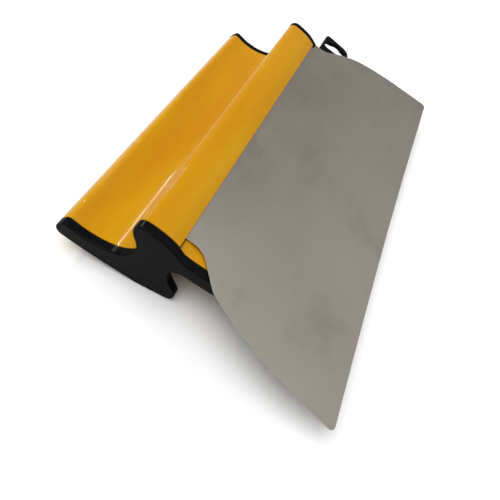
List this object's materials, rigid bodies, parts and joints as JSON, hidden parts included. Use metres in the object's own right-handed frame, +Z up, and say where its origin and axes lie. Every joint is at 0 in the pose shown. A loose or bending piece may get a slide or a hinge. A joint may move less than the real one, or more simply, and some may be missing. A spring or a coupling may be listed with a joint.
{
  "type": "wide smoothing spatula",
  "caption": "Wide smoothing spatula: hollow yellow handle profile, black end caps, hanging tab and a thin flared steel blade clamped in a slot under the ridge.",
  "frame": {"origin": "middle of the object's box, on the surface it stands on", "axes": "+X along the handle towards the hanging tab, +Y towards the handle's tail with the blade towards -Y, +Z up"},
  "size_m": [0.2504, 0.142, 0.0416],
  "materials": {
    "yellow_coat": "glossy yellow coat on an extruded profile, taken as powder-coated aluminium",
    "black_moulding": "satin black moulded plastic with softened rims",
    "blade_steel": "satin rolled spring steel with faint smudges, taken as stainless",
    "zinc_plate": "bright zinc plated steel, assumed for parts that are hidden"
  },
  "bodies": {
    "handle": {"handle_profile": "yellow_coat"},
    "left_cap": {"left_end_cap": "black_moulding"},
    "right_cap": {"right_end_cap": "black_moulding"},
    "blade": {"blade": "blade_steel"},
    "clamp_bar": {"clamp_bar": "zinc_plate"},
    "clamp_screw_1": {"clamp_screw_1": "zinc_plate"},
    "clamp_screw_2": {"clamp_screw_2": "zinc_plate"},
    "clamp_screw_3": {"clamp_screw_3": "zinc_plate"},
    "clamp_screw_4": {"clamp_screw_4": "zinc_plate"},
    "clamp_screw_5": {"clamp_screw_5": "zinc_plate"}
  },
  "joints": [
    {"name": "blade_pull_out", "type": "slide", "parent": "handle", "child": "blade", "axis": [0, -0.9667, -0.2558], "range_m": [0, 0.012]},
    {"name": "left_cap_pull_off", "type": "slide", "parent": "handle", "child": "left_cap", "axis": [-1, 0, 0], "range_m": [0, 0.014]},
    {"name": "right_cap_pull_off", "type": "slide", "parent": "handle", "child": "right_cap", "axis": [1, 0, 0], "range_m": [0, 0.014]},
    {"name": "clamp_bar_drop", "type": "slide", "parent": "handle", "child": "clamp_bar", "axis": [0, 0.1817, -0.9834], "range_m": [0, 0.001]},
    {"name": "clamp_screw_1_back_off", "type": "slide", "parent": "handle", "child": "clamp_screw_1", "axis": [0, 0.1817, -0.9834], "range_m": [0, 0.001]},
    {"name": "clamp_screw_2_back_off", "type": "slide", "parent": "handle", "child": "clamp_screw_2", "axis": [0, 0.1817, -0.9834], "range_m": [0, 0.001]},
    {"name": "clamp_screw_3_back_off", "type": "slide", "parent": "handle", "child": "clamp_screw_3", "axis": [0, 0.1817, -0.9834], "range_m": [0, 0.001]},
    {"name": "clamp_screw_4_back_off", "type": "slide", "parent": "handle", "child": "clamp_screw_4", "axis": [0, 0.1817, -0.9834], "range_m": [0, 0.001]},
    {"name": "clamp_screw_5_back_off", "type": "slide", "parent": "handle", "child": "clamp_screw_5", "axis": [0, 0.1817, -0.9834], "range_m": [0, 0.001]}
  ],
  "couplings": [
    {"joint": "clamp_screw_2_back_off", "follows": "clamp_screw_1_back_off", "ratio": 1},
    {"joint": "clamp_screw_3_back_off", "follows": "clamp_screw_1_back_off", "ratio": 1},
    {"joint": "clamp_screw_4_back_off", "follows": "clamp_screw_1_back_off", "ratio": 1},
    {"joint": "clamp_screw_5_back_off", "follows": "clamp_screw_1_back_off", "ratio": 1},
    {"joint": "clamp_bar_drop", "follows": "clamp_screw_1_back_off", "ratio": 1}
  ]
}
